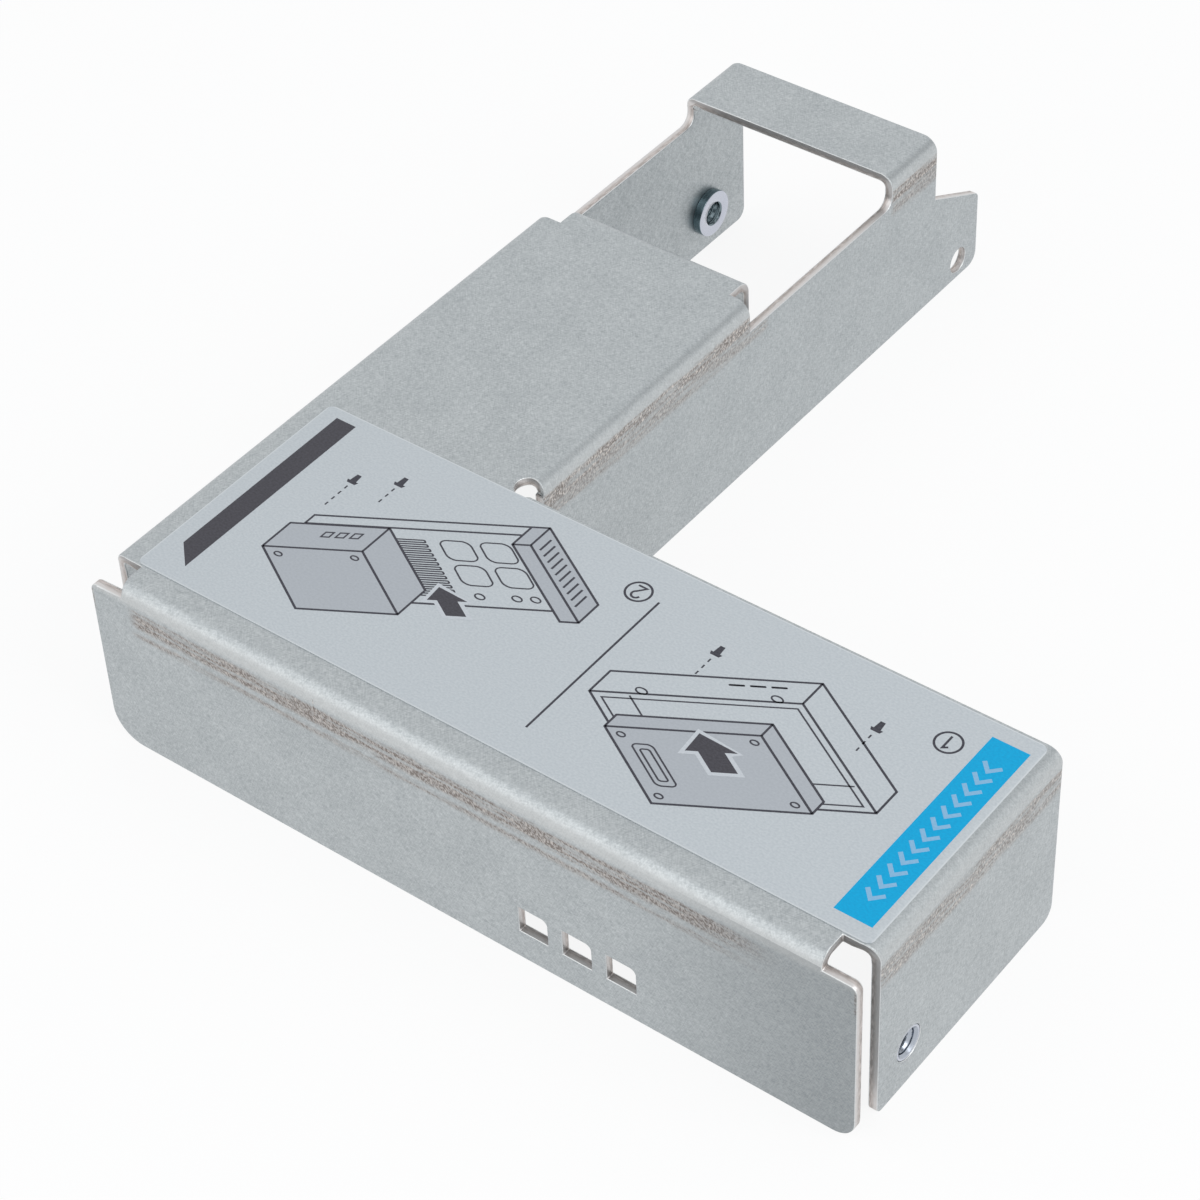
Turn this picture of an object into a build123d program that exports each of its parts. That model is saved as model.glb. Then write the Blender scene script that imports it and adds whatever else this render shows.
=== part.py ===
"""Bracket that holds a small drive in the bay of a larger one: a folded steel sheet, three press-in nuts
and a printed label.

Millimetres. X runs from the left side flange to the right one, Y from the front flange to the tail, Z up.
The origin is under the middle of the bracket, on the surface that its flanges stand on.
"""

import os

from build123d import *

# Steel sheet and its folds
sheet = 1.2
bend_inside = 0.8
bend_outside = bend_inside + sheet

# Overall size, over the outer faces of the flanges
width = 100.0
length = 128.5
height = 24.9

# Front bar: top plate across the whole width, with the front flange and both side flanges
bar_depth = 36.6
left_inset = 0.25
left_notch_width = 4.6
right_notch_width = 4.1
corner_notch_depth = 3.65
flange_set_back = 0.55
front_left_corner_radius = 4.0
front_right_corner_radius = 2.6
stub_corner_radius = 1.0
right_flange_overhang = 0.4
right_flange_rear_radius = 1.9
flange_front_radius = 0.8

# Indicator windows in the front flange
window_count = 3
window_width = 3.75
window_height = 3.65
window_pitch = 5.7
window_row_from_left = 65.6
window_row_height = 5.92
window_corner_radius = 0.75

# Arm behind the left part of the bar: top plate, left flange and inner flange
arm_edge = 31.9
corner_slit = 2.4
relief_radius = 1.62
relief_bite = 0.4
arm_fold_end = 78.4
lip_face = 82.3
lip_foot_height = 0.5
lip_left_slot = 1.6
lip_right_slot = 0.95
lip_corner_radius = 3.0

# Round notch in the lower edge of the left flange
edge_notch_from_front = 48.5
edge_notch_width = 17.0
edge_notch_depth = 11.25
edge_notch_mouth_radius = 1.5

# Opening behind the arm's plate, and the bridge that closes it
opening_drop = 4.3
opening_corner_radius = 1.6
bridge_width = 9.9
bridge_left_set_back = 0.65
left_flange_overhang = 1.3
left_flange_rear_radius = 1.5

# Tail of the inner flange, behind the bridge
tail_length = 10.2
tail_root_height = 15.7
tail_tip_height = 10.65
tail_tip_radius = 0.9
tail_foot_radius = 1.8

# Screw holes for the small drive, in the inner flange: as far apart as the drive's own holes
drive_hole_diameter = 3.5
drive_hole_height = 2.6
drive_hole_from_tail = 4.25
drive_hole_from_slit = 8.65

# Press-in nuts for the bay's screws, in the side flanges: the left pair is as far apart as a bay's holes
bay_hole_from_front = 9.7
bay_hole_from_tail = 17.2
bay_hole_height = 5.7
nut_hole_diameter = 4.25
nut_shank_clearance = 0.03
nut_shank_recess = 0.1
nut_body_diameter = 6.3
nut_body_height = 1.15
nut_edge_chamfer = 0.2
thread_bore_diameter = 2.9
thread_mouth_chamfer = 0.3

# Printed label on the front bar
label_thickness = 0.12
label_left_margin = 3.7
label_right_margin = 1.15
label_front_margin = 3.85
label_rear_margin = 0.45
label_corner_radius = 0.9

# Places that follow from the sizes
left = -width / 2
right = width / 2
front = -length / 2
rear = length / 2
side_left = left + left_inset
bar_rear = front + bar_depth
notch_edge = front + corner_notch_depth
side_start = notch_edge + flange_set_back
right_flange_end = bar_rear + right_flange_overhang
arm_right = left + arm_edge
inner_start = bar_rear + corner_slit
fold_end = front + arm_fold_end
lip_rear = front + lip_face
opening_height = height - opening_drop
bridge_end = rear - tail_length
bridge_start = bridge_end - bridge_width
bridge_left_start = bridge_start + bridge_left_set_back
left_flange_end = bridge_end + left_flange_overhang
bend_line = height - bend_outside
left_fold_start = side_left + bend_outside
right_fold_start = right - bend_outside
inner_fold_start = arm_right - bend_outside
lip_left = left_fold_start + lip_left_slot
lip_right = inner_fold_start - lip_right_slot
edge_notch_y = front + edge_notch_from_front
edge_notch_radius = edge_notch_width / 2
fold_chord = bend_outside * 2**0.5
front_nut_y = front + bay_hole_from_front
rear_nut_y = rear - bay_hole_from_tail
rear_drive_hole_y = rear - drive_hole_from_tail
front_drive_hole_y = inner_start + drive_hole_from_slit


def across(y):
    """Plane across the bracket at y, whose own X and Y are the bracket's X and Z."""
    return Plane(origin=(0, y, 0), x_dir=(1, 0, 0), z_dir=(0, -1, 0))


def along(x):
    """Plane along the bracket at x, whose own X and Y are the bracket's Y and Z."""
    return Plane.YZ.offset(x)


def over_fold(fold_start, outward):
    """Plane over a side fold: its own X runs from plate down to flange, its own Y along the fold."""
    return Plane(origin=(fold_start, 0, height), x_dir=(outward, 0, -1), z_dir=(1, 0, outward))


def folded_strip(*corners):
    """Section of a strip of sheet to the right of a line through the corners, rounded at each fold."""
    with BuildLine(mode=Mode.PRIVATE) as strip:
        FilletPolyline(*corners, radius=bend_outside)
        offset(amount=sheet, side=Side.RIGHT)
    make_face(strip.edges())


def filled_outline(*corners):
    """Closed outline through the corners, filled."""
    with BuildLine(mode=Mode.PRIVATE) as outline:
        Polyline(*corners, close=True)
    make_face(outline.edges())


def at(edges, axis, position, z):
    """Those of the edges whose middle is at that position on the axis and at height z."""
    near = sheet / 100
    level = edges.filter_by_position(Axis.Z, z - near, z + near)
    return level.filter_by_position(axis, position - near, position + near)


# Folded sheet: all flanges, the bridge and the tail are one piece of steel
with BuildPart() as folded_bracket:
    # Front flange, whose ends stand free of the folds
    with BuildSketch(across(front)) as front_flange:
        with Locations((0, bend_line / 2)):
            Rectangle(width, bend_line)
        fillet(front_flange.vertices().group_by(Axis.Y)[-1], stub_corner_radius)
        fillet(front_flange.vertices().group_by(Axis.Y)[0].sort_by(Axis.X)[0], front_left_corner_radius)
        fillet(front_flange.vertices().group_by(Axis.Y)[0].sort_by(Axis.X)[-1], front_right_corner_radius)
    extrude(amount=-sheet)

    # Front fold and the bar's top plate, between the corner notches
    with BuildSketch(along(left + left_notch_width)):
        folded_strip((front, 0), (front, height), (bar_rear, height))
    extrude(amount=width - left_notch_width - right_notch_width)

    # Left flange, its fold and the top plate of bar and arm
    with BuildSketch(across(notch_edge)):
        folded_strip((side_left, 0), (side_left, height), (inner_fold_start, height))
    extrude(amount=notch_edge - fold_end)

    # Right flange and its fold
    with BuildSketch(across(notch_edge)):
        folded_strip((right_fold_start - right_notch_width, height), (right, height), (right, 0))
    extrude(amount=notch_edge - right_flange_end)

    # Inner flange and its fold, behind the slit at the bar
    with BuildSketch(across(inner_start)):
        folded_strip((left_fold_start, height), (arm_right, height), (arm_right, 0))
    extrude(amount=inner_start - fold_end)

    # Lip folded down behind the arm's plate, between two slots, as a wall across the arm
    with BuildSketch(along(lip_left)):
        folded_strip((inner_start, height), (lip_rear, height), (lip_rear, lip_foot_height))
    extrude(amount=lip_right - lip_left)

    # Bridge with the flanges under it
    with BuildSketch(across(bridge_start)):
        folded_strip((side_left, 0), (side_left, height), (arm_right, height), (arm_right, 0))
    extrude(amount=-bridge_width)

    # Left flange beside the opening and past the bridge
    with BuildSketch(along(side_left)):
        filled_outline(
            (side_start, 0),
            (left_flange_end, 0),
            (left_flange_end, bend_line),
            (bridge_left_start, bend_line),
            (bridge_left_start, opening_height),
            (side_start, opening_height),
        )
    extrude(amount=sheet)

    # Inner flange beside the opening, and its tail past the bridge
    with BuildSketch(along(arm_right - sheet)):
        filled_outline(
            (inner_start, 0),
            (rear, 0),
            (rear, tail_tip_height),
            (bridge_end, tail_root_height),
            (bridge_end, opening_height),
            (inner_start, opening_height),
        )
    extrude(amount=sheet)

    # Ends of the side folds, which slant from the plate's edge to the flange's edge: front corners,
    # rear of the bar on the right, and front of the bridge on the left
    left_fold = over_fold(left_fold_start, -1)
    right_fold = over_fold(right_fold_start, 1)
    with BuildSketch(left_fold, right_fold):
        filled_outline(
            (0, notch_edge),
            (fold_chord, side_start),
            (height, side_start),
            (height, notch_edge),
        )
    extrude(amount=height, both=True, mode=Mode.SUBTRACT)
    with BuildSketch(right_fold):
        filled_outline(
            (-height, bar_rear),
            (0, bar_rear),
            (fold_chord, right_flange_end),
            (-height, right_flange_end),
        )
    extrude(amount=height, both=True, mode=Mode.SUBTRACT)
    with BuildSketch(left_fold):
        filled_outline((0, bridge_start), (fold_chord, bridge_left_start), (fold_chord, bridge_start))
    extrude(amount=bend_outside, both=True, mode=Mode.SUBTRACT)
    with BuildSketch(along(side_left)):
        filled_outline(
            (bridge_start, opening_height),
            (bridge_left_start, opening_height),
            (bridge_left_start, bend_line),
            (bridge_start, bend_line),
        )
    extrude(amount=sheet, mode=Mode.SUBTRACT)

    # Round notch, open at the left flange's lower edge
    with BuildSketch(along(side_left)):
        with Locations((edge_notch_y, edge_notch_depth - edge_notch_radius)):
            Circle(edge_notch_radius)
            Rectangle(edge_notch_width, edge_notch_depth, align=(Align.CENTER, Align.MAX))
    extrude(amount=sheet, mode=Mode.SUBTRACT)

    # Rounded corners of the flanges and the lip
    cross_edges = folded_bracket.edges().filter_by(Axis.X)
    fillet(at(cross_edges, Axis.Y, bridge_start, opening_height), opening_corner_radius)
    fillet(at(cross_edges, Axis.Y, bridge_left_start, opening_height), opening_corner_radius)
    fillet(at(cross_edges, Axis.Y, left_flange_end, 0), left_flange_rear_radius)
    fillet(at(cross_edges, Axis.Y, right_flange_end, 0), right_flange_rear_radius)
    fillet(at(cross_edges, Axis.Y, side_start, 0), flange_front_radius)
    fillet(at(cross_edges, Axis.Y, rear, 0), tail_foot_radius)
    fillet(at(cross_edges, Axis.Y, rear, tail_tip_height), tail_tip_radius)
    for mouth_y in (edge_notch_y - edge_notch_radius, edge_notch_y + edge_notch_radius):
        fillet(at(cross_edges, Axis.Y, mouth_y, 0), edge_notch_mouth_radius)
    lip_edges = folded_bracket.edges().filter_by(Axis.Y)
    for lip_side in (lip_left, lip_right):
        fillet(at(lip_edges, Axis.X, lip_side, lip_foot_height), lip_corner_radius)

    # Round relief at the inner corner, on the middle of the inner fold, which it bites a little
    with BuildSketch(Plane.XY.offset(height)):
        with Locations((arm_right - bend_outside / 2, inner_start + relief_bite - relief_radius)):
            Circle(relief_radius)
    extrude(amount=-bend_outside, mode=Mode.SUBTRACT)

    # Indicator windows: square corners, apart from the upper right one
    with BuildSketch(across(front)) as windows:
        with Locations((left + window_row_from_left, window_row_height)):
            with GridLocations(window_pitch, window_height, window_count, 1):
                Rectangle(window_width, window_height)
        upper_corners = windows.vertices().group_by(Axis.Y)[-1].sort_by(Axis.X)
        fillet(upper_corners[1::2], window_corner_radius)
    extrude(amount=-sheet, mode=Mode.SUBTRACT)

    # Holes of the press-in nuts
    with BuildSketch(along(side_left)):
        with Locations((front_nut_y, bay_hole_height), (rear_nut_y, bay_hole_height)):
            Circle(nut_hole_diameter / 2)
    extrude(amount=sheet, mode=Mode.SUBTRACT)
    with BuildSketch(along(right)):
        with Locations((front_nut_y, bay_hole_height)):
            Circle(nut_hole_diameter / 2)
    extrude(amount=-sheet, mode=Mode.SUBTRACT)

    # Screw holes of the small drive
    with BuildSketch(along(arm_right)):
        with Locations((front_drive_hole_y, drive_hole_height), (rear_drive_hole_y, drive_hole_height)):
            Circle(drive_hole_diameter / 2)
    extrude(amount=-sheet, mode=Mode.SUBTRACT)


def press_in_nut(outer_face):
    """Round nut seated in the hole of a side flange: shank in the sheet, body on the inner side.

    The plane lies on the flange's outer face and its normal points to the inside of the bracket.
    """
    shank_radius = nut_hole_diameter / 2 - nut_shank_clearance
    body_radius = nut_body_diameter / 2
    body_end = sheet + nut_body_height
    bore_radius = thread_bore_diameter / 2
    mouth_radius = bore_radius + thread_mouth_chamfer
    half_section = Plane(outer_face.origin, x_dir=outer_face.x_dir, z_dir=-outer_face.y_dir)
    with BuildPart() as nut:
        with BuildSketch(half_section):
            with BuildLine():
                Polyline(
                    (mouth_radius, nut_shank_recess),
                    (shank_radius, nut_shank_recess),
                    (shank_radius, sheet),
                    (body_radius, sheet),
                    (body_radius, body_end - nut_edge_chamfer),
                    (body_radius - nut_edge_chamfer, body_end),
                    (mouth_radius, body_end),
                    (bore_radius, body_end - thread_mouth_chamfer),
                    (bore_radius, nut_shank_recess + thread_mouth_chamfer),
                    close=True,
                )
            make_face()
        revolve(axis=Axis(outer_face.origin, outer_face.z_dir))
    return nut


# Nuts, one in each hole
nut_seats = {
    "front_left_nut": Plane((side_left, front_nut_y, bay_hole_height), x_dir=(0, 1, 0), z_dir=(1, 0, 0)),
    "rear_left_nut": Plane((side_left, rear_nut_y, bay_hole_height), x_dir=(0, 1, 0), z_dir=(1, 0, 0)),
    "front_right_nut": Plane((right, front_nut_y, bay_hole_height), x_dir=(0, 1, 0), z_dir=(-1, 0, 0)),
}
nuts = {name: press_in_nut(seat) for name, seat in nut_seats.items()}

# Label: film on the bar's plate, whose right edge follows the start of the right fold
label_left = left + label_left_margin
label_right = right - label_right_margin
label_front = front + label_front_margin
label_rear = bar_rear - label_rear_margin
with BuildPart() as instruction_label:
    with BuildSketch(across(label_front)):
        with BuildLine():
            FilletPolyline((label_left, height), (right, height), (right, 0), radius=bend_outside)
            offset(amount=label_thickness, side=Side.LEFT)
        make_face()
    extrude(amount=label_front - label_rear)
    with BuildSketch(Plane.XY.offset(bend_line)):
        with Locations(((label_left + label_right) / 2, (label_front + label_rear) / 2)):
            RectangleRounded(label_right - label_left, label_rear - label_front, label_corner_radius)
    extrude(amount=bend_outside + label_thickness, mode=Mode.INTERSECT)

# One STEP file for each piece
pieces = {"folded_bracket": folded_bracket, **nuts, "instruction_label": instruction_label}
os.makedirs("parts", exist_ok=True)
for name, piece in pieces.items():
    piece.part.label = name
    export_step(piece.part, f"parts/{name}.step")
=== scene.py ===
"""Looks of the drive bay bracket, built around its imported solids. Metres, in the solids' own frame."""

import math

import bmesh
import bpy
import numpy as np
from mathutils import Matrix, Vector


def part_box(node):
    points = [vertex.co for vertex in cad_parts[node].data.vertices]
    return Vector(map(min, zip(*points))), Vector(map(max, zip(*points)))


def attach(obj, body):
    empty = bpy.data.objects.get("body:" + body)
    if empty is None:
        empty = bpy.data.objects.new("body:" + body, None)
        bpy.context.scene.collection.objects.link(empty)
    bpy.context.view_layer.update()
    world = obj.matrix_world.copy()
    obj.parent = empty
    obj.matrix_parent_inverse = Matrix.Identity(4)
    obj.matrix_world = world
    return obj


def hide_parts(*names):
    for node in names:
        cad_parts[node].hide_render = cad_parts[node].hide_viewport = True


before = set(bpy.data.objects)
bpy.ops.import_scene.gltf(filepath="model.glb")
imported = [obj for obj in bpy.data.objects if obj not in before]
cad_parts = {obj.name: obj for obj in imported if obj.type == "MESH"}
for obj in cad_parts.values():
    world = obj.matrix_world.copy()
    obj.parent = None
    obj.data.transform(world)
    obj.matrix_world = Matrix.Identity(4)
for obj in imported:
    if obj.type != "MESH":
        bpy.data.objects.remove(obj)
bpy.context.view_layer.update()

# Folded sheet
# One piece of 1.2 mm steel sheet, zinc-coated at the mill, punched to its outline and folded on a brake.
# Punching leaves bare, slightly rounded edges, and the folding tool scuffs the coating below each fold.
mm = 0.001
micron = 0.001 * mm
sheet = 1.2 * mm
fold_radius = 2.0 * mm
sheet_low, sheet_high = (np.array(corner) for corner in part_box("folded_bracket"))
plate_top = sheet_high[2]
fold_line = plate_top - fold_radius
front_face = sheet_low[1]
front_fold = front_face + fold_radius
left_inset = 0.25 * mm
left_face = sheet_low[0] + left_inset
left_fold = left_face + fold_radius
right_face = sheet_high[0]
right_fold = right_face - fold_radius
arm_face = -18.1 * mm
arm_fold = arm_face - fold_radius
arm_front = -25.25 * mm
lip_face = 18.05 * mm
bridge_front = 44.15 * mm
edge_rounding, edge_steps, round_profile = 0.16 * mm, 2, 0.5


def merged_copy(node):
    """Corners and triangles of a CAD node's mesh, with corners closer than a micron made one."""
    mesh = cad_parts[node].data
    corners = np.empty(len(mesh.vertices) * 3)
    mesh.vertices.foreach_get("co", corners)
    triangles = np.empty(len(mesh.loops), int)
    mesh.loops.foreach_get("vertex_index", triangles)
    keys = np.round(corners.reshape(-1, 3) / micron).astype(int)
    _, first, merged = np.unique(keys, axis=0, return_index=True, return_inverse=True)
    triangles = merged.reshape(-1)[triangles].reshape(-1, 3)
    kept = (np.diff(np.sort(triangles, axis=1), axis=1) > 0).all(axis=1)
    return corners.reshape(-1, 3)[first], triangles[kept]


def new_piece(name, corners, faces, material):
    """Object at the origin, made of these corners and faces, that rides on the bracket."""
    mesh = bpy.data.meshes.new(name)
    mesh.from_pydata(np.asarray(corners).tolist(), [], [list(face) for face in faces])
    mesh.validate()
    mesh.materials.append(material)
    piece = bpy.data.objects.new(name, mesh)
    bpy.context.scene.collection.objects.link(piece)
    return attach(piece, "root")


def on_blank(places):
    """Places on the flat blank, before folding: across it, along it, and the depth under its outer skin.

    Beyond the start of a fold, a place lies out from there by the arc turned through on the outer skin
    and by the drop below the fold. Its depth is the fold's radius less its distance from the fold's axis.
    """
    x, y, z = places.T
    blank = np.stack([x, y, plate_top - z], axis=1)
    behind = y > front_fold
    before_lip_end = (y < lip_face + sheet) & (x > left_fold) & (x < arm_fold)
    folds = (
        (1, -1, front_fold, ~behind),
        (0, -1, left_fold, behind),
        (0, 1, right_fold, behind),
        (0, 1, arm_fold, y > arm_front - fold_radius),
        (1, 1, lip_face - fold_radius, before_lip_end),
    )
    up, drop = np.maximum(z - fold_line, 0), np.maximum(fold_line - z, 0)
    for axis, side, start, there in folds:
        out = side * (places[:, axis] - start)
        beyond = there & (out > 0)
        run = fold_radius * np.arctan2(out, up) + drop
        blank[beyond, axis] = start + side * run[beyond]
        blank[beyond, 2] = fold_radius - np.hypot(out, up)[beyond]
    return blank


def linear(red, green, blue):
    """Screen colour from 0 to 255 as the linear colour of a socket: the sRGB curve, undone."""
    screen = np.array([red, green, blue]) / 255
    return (*np.where(screen <= 0.04045, screen / 12.92, ((screen + 0.055) / 1.055) ** 2.4), 1.0)


def put(tree, kind, sockets, **settings):
    """Puts a node into the tree. Each socket gets a value, or the output that feeds it."""
    made = tree.nodes.new("ShaderNode" + kind)
    for key, value in settings.items():
        setattr(made, key, value)
    for key, value in sockets.items():
        if isinstance(value, bpy.types.NodeSocket):
            tree.links.new(value, made.inputs[key])
        else:
            made.inputs[key].default_value = value
    return made


def reckon(tree, operation, first, second=0.0):
    """Output of a Math node on two values."""
    return put(tree, "Math", {0: first, 1: second}, operation=operation).outputs[0]


def product(tree, *factors):
    """Output of all the factors multiplied together."""
    result = factors[0]
    for factor in factors[1:]:
        result = reckon(tree, "MULTIPLY", result, factor)
    return result


def rise(tree, value, start, end, low=0.0, high=1.0):
    """Output that goes from low to high, eased at both ends, while the value goes from start to end."""
    sockets = {"Value": value, "From Min": start, "From Max": end, "To Min": low, "To Max": high}
    return put(tree, "MapRange", sockets, interpolation_type="SMOOTHSTEP").outputs[0]


def blend(tree, share, under, over):
    """Output colour that is under at share 0 and over at share 1."""
    return put(tree, "Mix", {0: share, 6: under, 7: over}, data_type="RGBA").outputs[2]


def speckle(tree, place, scale=1.0, detail=2.0, stretch=None):
    """Noise value at a place in millimetres, with scale bumps to the millimetre, after a stretch by axis."""
    if stretch:
        place = put(tree, "VectorMath", {0: place, 1: stretch}, operation="MULTIPLY").outputs[0]
    return put(tree, "TexNoise", {"Vector": place, "Scale": scale, "Detail": detail}).outputs[0]


def swing(tree, noise):
    """Noise value less its middle, so that it swings about nought."""
    noise_middle = 0.5
    return reckon(tree, "SUBTRACT", noise, noise_middle)


def by_axis(tree, vector):
    """Outputs X, Y and Z of a vector."""
    return put(tree, "SeparateXYZ", {0: vector}).outputs


def mask_of(tree, name):
    """Output of a number that the piece's mesh carries under that name."""
    return put(tree, "Attribute", {}, attribute_name=name).outputs["Fac"]


def new_group(name, inputs, outputs):
    """Shader node group with these sockets, and its input and output nodes."""
    tree = bpy.data.node_groups.new(name, "ShaderNodeTree")
    for socket, kind in inputs.items():
        tree.interface.new_socket(name=socket, in_out="INPUT", socket_type="NodeSocket" + kind)
    for socket, kind in outputs.items():
        tree.interface.new_socket(name=socket, in_out="OUTPUT", socket_type="NodeSocket" + kind)
    return tree, tree.nodes.new("NodeGroupInput").outputs, tree.nodes.new("NodeGroupOutput").inputs


def use_group(tree, group, sockets):
    """Outputs of a group that is placed in the tree with these sockets."""
    return put(tree, "Group", sockets, node_tree=group).outputs


def new_material(name, **constants):
    """Material with a Principled shader whose sockets hold these constants, and its place in millimetres."""
    material = bpy.data.materials.new(name)
    material.use_nodes = True
    tree = material.node_tree
    shader = tree.nodes["Principled BSDF"]
    for socket, value in constants.items():
        shader.inputs[socket.replace("_", " ")].default_value = value
    spot = put(tree, "TexCoord", {}).outputs["Object"]
    place = put(tree, "VectorMath", {0: spot, "Scale": 1 / mm}, operation="SCALE").outputs[0]
    return material, tree, shader, place


def roughen(tree, shader, height, strength, relief):
    """Bump of that height value on the shader's normal."""
    bump = put(tree, "Bump", {"Height": height, "Strength": strength, "Distance": relief})
    tree.links.new(bump.outputs[0], shader.inputs["Normal"])


# Grain of the zinc coat: fine mottle, soft clouds, and short strokes that cross each other
mottle_scale, mottle_weight = 4.4, 0.7
cloud_scale, cloud_detail, cloud_weight = 0.16, 3.0, 0.4
stroke_stretch, stroke_weight = (6.5, 1.0, 1.0), 0.85
stroke_angles = (0.45, -0.70, 1.35)
middle_tone = 0.5
zinc_grain, taken, given = new_group("zinc_grain", {"Place": "Vector"}, {"Tone": "Float", "Relief": "Float"})
mottle = speckle(zinc_grain, taken["Place"], mottle_scale)
clouds = speckle(zinc_grain, taken["Place"], cloud_scale, cloud_detail)
grains = [(mottle, mottle_weight), (clouds, cloud_weight)]
for angle in stroke_angles:
    turning = {0: taken["Place"], "Angle": angle}
    turned = put(zinc_grain, "VectorRotate", turning, rotation_type="Z_AXIS").outputs[0]
    grains.append((speckle(zinc_grain, turned, detail=1.0, stretch=stroke_stretch), stroke_weight))
tone = middle_tone
for noise, weight in grains:
    tone = reckon(zinc_grain, "ADD", tone, product(zinc_grain, swing(zinc_grain, noise), weight))
zinc_grain.links.new(tone, given["Tone"])
zinc_grain.links.new(mottle, given["Relief"])

# Scuff of the folding tool: rows of rubbed coating between two heights, with dark pits and bright glints
waver_scale, waver_detail, waver_height = 0.8, 3.0, 0.6
top_fade, foot_fade = (-0.2, 0.4), (-0.3, 0.7)
row_stretch, row_range, row_gap_cover = (0.12, 0.12, 2.2), (0.36, 0.54), 0.30
stitch_stretch, stitch_lean = (4.8, 4.8, 2.2), (0.5, 0.5, 0.0)
pit_range, glint_range = (0.50, 0.60), (0.45, 0.33)
fold_scuff, taken, given = new_group(
    "fold_scuff",
    {"Place": "Vector", "Top": "Float", "Foot": "Float"},
    {"Cover": "Float", "Pits": "Float", "Glints": "Float"},
)
waver = swing(fold_scuff, speckle(fold_scuff, taken["Place"], waver_scale, waver_detail))
level = by_axis(fold_scuff, taken["Place"])["Z"]
level = reckon(fold_scuff, "ADD", level, product(fold_scuff, waver, waver_height))
below = reckon(fold_scuff, "SUBTRACT", taken["Top"], level)
above = reckon(fold_scuff, "SUBTRACT", level, taken["Foot"])
rows = speckle(fold_scuff, taken["Place"], detail=1.0, stretch=row_stretch)
cover = product(
    fold_scuff,
    rise(fold_scuff, below, *top_fade),
    rise(fold_scuff, above, *foot_fade),
    rise(fold_scuff, rows, *row_range, row_gap_cover),
)
leaning = {0: taken["Place"], "Rotation": stitch_lean}
leant = put(fold_scuff, "VectorRotate", leaning, rotation_type="EULER_XYZ").outputs[0]
stitches = speckle(fold_scuff, leant, detail=1.0, stretch=stitch_stretch)
fold_scuff.links.new(cover, given["Cover"])
fold_scuff.links.new(product(fold_scuff, cover, rise(fold_scuff, stitches, *pit_range)), given["Pits"])
fold_scuff.links.new(product(fold_scuff, cover, rise(fold_scuff, stitches, *glint_range)), given["Glints"])

# Zinc coat, with tool burnish and a painted highlight around the folds, and painted shade towards the front
# flange's right end
zinc_dark, zinc_light, painted_shade_zinc = linear(157, 163, 166), linear(196, 201, 203), linear(96, 102, 106)
# Lighter band over the lower part of each fold and just under it: partly tool burnish, partly a painted
# highlight that carries the fold's mirrored light further down
burnish_and_highlight = linear(216, 217, 216)
burnish_highlight_foot, burnish_highlight_top = (21.9, 22.9), (24.6, 23.4)
side_burnish_highlight, front_burnish_highlight = 0.28, 0.45
# Painted shade on the front flange's right end: where it starts and ends in millimetres, and its greatest
# share
painted_shade_start, painted_shade_end, painted_shade_share = 17.0, 50.0, 0.38
near = 0.05
zinc_sheet, tree, shader, place = new_material("zinc_sheet", Metallic=0.9)
blank = put(tree, "Attribute", {}, attribute_name="blank").outputs["Vector"]
grain = use_group(tree, zinc_grain, {"Place": blank})
spot = by_axis(tree, place)
colour = blend(tree, grain["Tone"], zinc_dark, zinc_light)
burnish_and_highlight_share = product(
    tree,
    rise(tree, spot["Z"], *burnish_highlight_foot),
    rise(tree, spot["Z"], *burnish_highlight_top),
    rise(tree, spot["Y"], front_fold / mm, front_face / mm, side_burnish_highlight, front_burnish_highlight),
)
# Partly burnish, partly painted highlight at the folds
colour = blend(tree, burnish_and_highlight_share, colour, burnish_and_highlight)
on_front = reckon(tree, "LESS_THAN", spot["Y"], front_face / mm + near)
# Painted shade: the front flange darkens towards its right end, in place of dim mirrored surroundings
painted_end_shade = product(tree, on_front, rise(tree, spot["X"], painted_shade_start, painted_shade_end, 0.0, painted_shade_share))

# Scuffs on the outer faces, only where there is a fold above them
rubbed, pitted, glinting = linear(162, 154, 149), linear(120, 110, 104), linear(218, 211, 205)
rub_share, pit_share = 0.7, 0.8
front_start, front_end = (-45.0, -43.0), (42.0, 32.0)
fold_end_fade = 1.0
past_lip = rise(tree, spot["Y"], lip_face / mm - fold_end_fade, lip_face / mm)
bridge_fade = (bridge_front / mm + fold_end_fade / 2, bridge_front / mm - fold_end_fade / 2)
in_opening = product(tree, past_lip, rise(tree, spot["Y"], *bridge_fade))
under_fold = reckon(tree, "SUBTRACT", 1.0, in_opening)
front_run = product(tree, rise(tree, spot["X"], *front_start), rise(tree, spot["X"], *front_end))
scuffed_front = product(tree, on_front, front_run)
on_arm = put(tree, "Math", {0: spot["X"], 1: arm_face / mm, 2: near}, operation="COMPARE").outputs[0]
scuffed_arm = product(tree, on_arm, under_fold)
from_middle = reckon(tree, "ABSOLUTE", spot["X"])
scuffed_sides = product(tree, reckon(tree, "GREATER_THAN", from_middle, -left_face / mm - near), under_fold)
scuff_bands = (  # face, top and foot of the band, wear, share of glints
    (scuffed_front, 22.0, 19.3, 1.00, 0.55),
    (scuffed_front, 18.8, 17.8, 0.80, 0.40),
    (scuffed_sides, 22.3, 18.8, 0.70, 0.80),
    (scuffed_arm, 23.0, 20.6, 0.90, 1.05),
    (scuffed_arm, 20.8, 18.9, 0.55, 0.50),
)
covers, pits, glints = 0.0, 0.0, 0.0
for where, band_top, band_foot, wear, shine in scuff_bands:
    scuff = use_group(tree, fold_scuff, {"Place": place, "Top": band_top, "Foot": band_foot})
    covers = reckon(tree, "ADD", covers, product(tree, scuff["Cover"], where, wear))
    pits = reckon(tree, "ADD", pits, product(tree, scuff["Pits"], where, wear))
    glints = reckon(tree, "ADD", glints, product(tree, scuff["Glints"], where, shine))
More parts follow.
